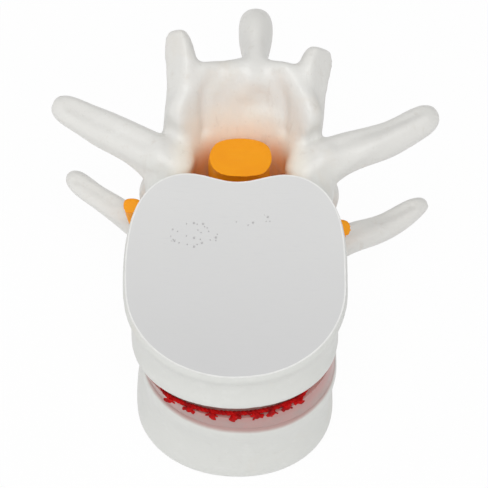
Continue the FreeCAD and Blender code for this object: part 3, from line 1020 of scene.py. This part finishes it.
def knots_along(path, size):
    """Return the knots of the cord, each turned its own way."""
    made = []
    for number, share in enumerate(KNOT_SHARES):
        x = share * path.reach
        headroom = path.headroom(x)
        turn = math.asin(x / path.bend)
        outward = Vector((math.sin(turn), -math.cos(turn), 0.0))
        centre = Vector((0.0, path.front + path.bend, path.height - KNOT_DROP))
        centre += outward * (path.bend + KNOT_OUT * headroom)
        knot = knot_form(size * headroom ** KNOT_SHRINK, number)
        spin = (Matrix.Rotation(turn, 4, "Z")
                @ Matrix.Rotation(FIRST_SPIN + NEXT_SPIN * number, 4, "Y"))
        for vertex in knot.data.vertices:
            vertex.co = path.place @ (Matrix.Translation(centre) @ spin @ vertex.co)
        made.append(knot)
    return made


class SPINE_OT_cord(bpy.types.Operator):
    """Build the red cord with its row of knots"""
    bl_idname = "spine.cord"
    bl_label = "Knotted cord"

    def execute(self, context):
        settings = context.scene.spine_soft
        path = CordPath()
        cord = twisted_cord(path, settings.thread_radius)
        cord = joined([cord, *knots_along(path, settings.knot_radius)])
        edit(cord)
        bpy.ops.mesh.select_all(action="SELECT")
        bpy.ops.mesh.normals_make_consistent(inside=False)
        leave_edit()
        give(cord, knotted_thread(settings.thread))
        shade_smooth(cord, angle=50.0)
        settle(cord, "fibre_cord")
        return {"FINISHED"}


# Floor, lamps and camera

# Each lamp's name, place and width, in metres, and its power in watts.
LAMPS = (("lamp_over", (-0.05, -0.56, 1.00), 0.7, 5.7),
         ("lamp_front", (0.10, -1.10, 0.35), 0.8, 0.6),
         ("lamp_side", (-1.05, 0.10, 0.50), 0.8, 1.2))
LAMP_TARGET = (0.0, -0.005, 0.04)
SKY_LEVEL = 0.49

# The camera's place, and its directions to the right and to the top of the picture.
CAMERA_PLACE = Vector((-17.1797, -276.6321, 412.1244)) * MM
CAMERA_RIGHT = Vector((0.99850156, 0.01129303, 0.05354524))
CAMERA_UP = Vector((-0.04090007, 0.80408125, 0.59311089))


def floor_finish():
    """Pale floor that the camera sees as white, darkened softly by the shadow."""
    finish = Finish("pale_floor")
    where = finish.place()
    wide = finish.cloud(where, 6.0, 3.0, 0.5)
    tone = finish.mix(wide * 0.2, shade(250, 250, 250), shade(244, 244, 244))
    finish.set(Base_Color=tone, Roughness=0.8, Specular_IOR_Level=0.2)
    tree = finish.tree
    rays = tree.nodes.new("ShaderNodeLightPath")
    camera = Socket(finish, rays.outputs["Is Camera Ray"])
    glossy = Socket(finish, rays.outputs["Is Glossy Ray"])
    through = Socket(finish, rays.outputs["Is Transmission Ray"])
    seen = (camera + glossy + through).clamped()
    glow = tree.nodes.new("ShaderNodeEmission")
    glow.inputs["Color"].default_value = (1.0, 1.0, 1.0, 1.0)
    glow.inputs["Strength"].default_value = 1.0
    blend = tree.nodes.new("ShaderNodeMixShader")
    output = tree.nodes["Material Output"]
    finish.feed(blend.inputs[0], seen * 0.96)
    tree.links.new(finish.shader.outputs[0], blend.inputs[1])
    tree.links.new(glow.outputs[0], blend.inputs[2])
    tree.links.new(blend.outputs[0], output.inputs["Surface"])
    return finish


def soft_lamp(name, place, size, power):
    """Add a large square lamp that faces the model."""
    deselect_all()
    bpy.ops.object.light_add(type="AREA", location=place)
    lamp = bpy.context.object
    lamp.name = name
    lamp.data.shape = "SQUARE"
    lamp.data.size = size
    lamp.data.energy = power
    towards = Vector(LAMP_TARGET) - Vector(place)
    lamp.rotation_euler = towards.to_track_quat("-Z", "Y").to_euler()


def add_camera(lens):
    """Add the camera at the photograph's viewing angle."""
    deselect_all()
    bpy.ops.object.camera_add()
    camera = bpy.context.object
    camera.name = "camera"
    camera.data.sensor_width = 36.0
    camera.data.lens = lens
    camera.data.clip_start = 0.01
    camera.data.clip_end = 20.0
    back = CAMERA_RIGHT.cross(CAMERA_UP)
    turn = Matrix((CAMERA_RIGHT, CAMERA_UP, back)).transposed()
    camera.matrix_world = Matrix.Translation(CAMERA_PLACE) @ turn.to_4x4()
    bpy.context.scene.camera = camera


class SPINE_OT_stage(bpy.types.Operator):
    """Add the pale floor, the soft lamps and the camera"""
    bl_idname = "spine.stage"
    bl_label = "Stage"

    def execute(self, context):
        settings = context.scene.spine_stage
        deselect_all()
        bpy.ops.mesh.primitive_plane_add(size=settings.floor_size)
        floor = context.object
        floor.name = "floor"
        give(floor, floor_finish())
        for name, place, size, power in LAMPS:
            soft_lamp(name, place, size, power * settings.lamp_level)
        world = bpy.data.worlds.new("studio")
        context.scene.world = world
        world.use_nodes = True
        sky = world.node_tree.nodes["Background"]
        sky.inputs["Color"].default_value = (1.0, 1.0, 1.0, 1.0)
        sky.inputs["Strength"].default_value = SKY_LEVEL
        add_camera(settings.lens)
        return {"FINISHED"}


class SPINE_PT_panel(bpy.types.Panel):
    """Lists the pieces of the spine model"""
    bl_idname = "SPINE_PT_panel"
    bl_label = "Lumbar spine model"
    bl_space_type = "VIEW_3D"
    bl_region_type = "UI"
    bl_category = "Spine"

    def draw(self, context):
        column = self.layout.column()
        for operator in PIECES:
            column.operator(operator.bl_idname)
        for group in (context.scene.spine_casting, context.scene.spine_soft,
                      context.scene.spine_stage):
            box = self.layout.box()
            for name in group.__annotations__:
                box.prop(group, name)


PIECES = (SPINE_OT_stage, SPINE_OT_sawn_vertebra, SPINE_OT_standing_vertebra,
          SPINE_OT_disc, SPINE_OT_nerves, SPINE_OT_cord)
GROUPS = (CastingSettings, SoftSettings, StageSettings)


def register():
    """Make the settings, the pieces and the panel known."""
    for kind in (*GROUPS, *PIECES, SPINE_PT_panel):
        bpy.utils.register_class(kind)
    scene = bpy.types.Scene
    scene.spine_casting = bpy.props.PointerProperty(type=CastingSettings)
    scene.spine_soft = bpy.props.PointerProperty(type=SoftSettings)
    scene.spine_stage = bpy.props.PointerProperty(type=StageSettings)


def unregister():
    """Take them away again."""
    for name in ("spine_casting", "spine_soft", "spine_stage"):
        delattr(bpy.types.Scene, name)
    for kind in reversed((*GROUPS, *PIECES, SPINE_PT_panel)):
        bpy.utils.unregister_class(kind)


def main():
    """Build every piece."""
    register()
    bpy.context.scene.view_settings.view_transform = "Standard"
    bpy.ops.spine.stage()
    bpy.ops.spine.sawn_vertebra()
    bpy.ops.spine.standing_vertebra()
    bpy.ops.spine.disc()
    bpy.ops.spine.nerves()
    bpy.ops.spine.cord()


if __name__ == "__main__":
    main()
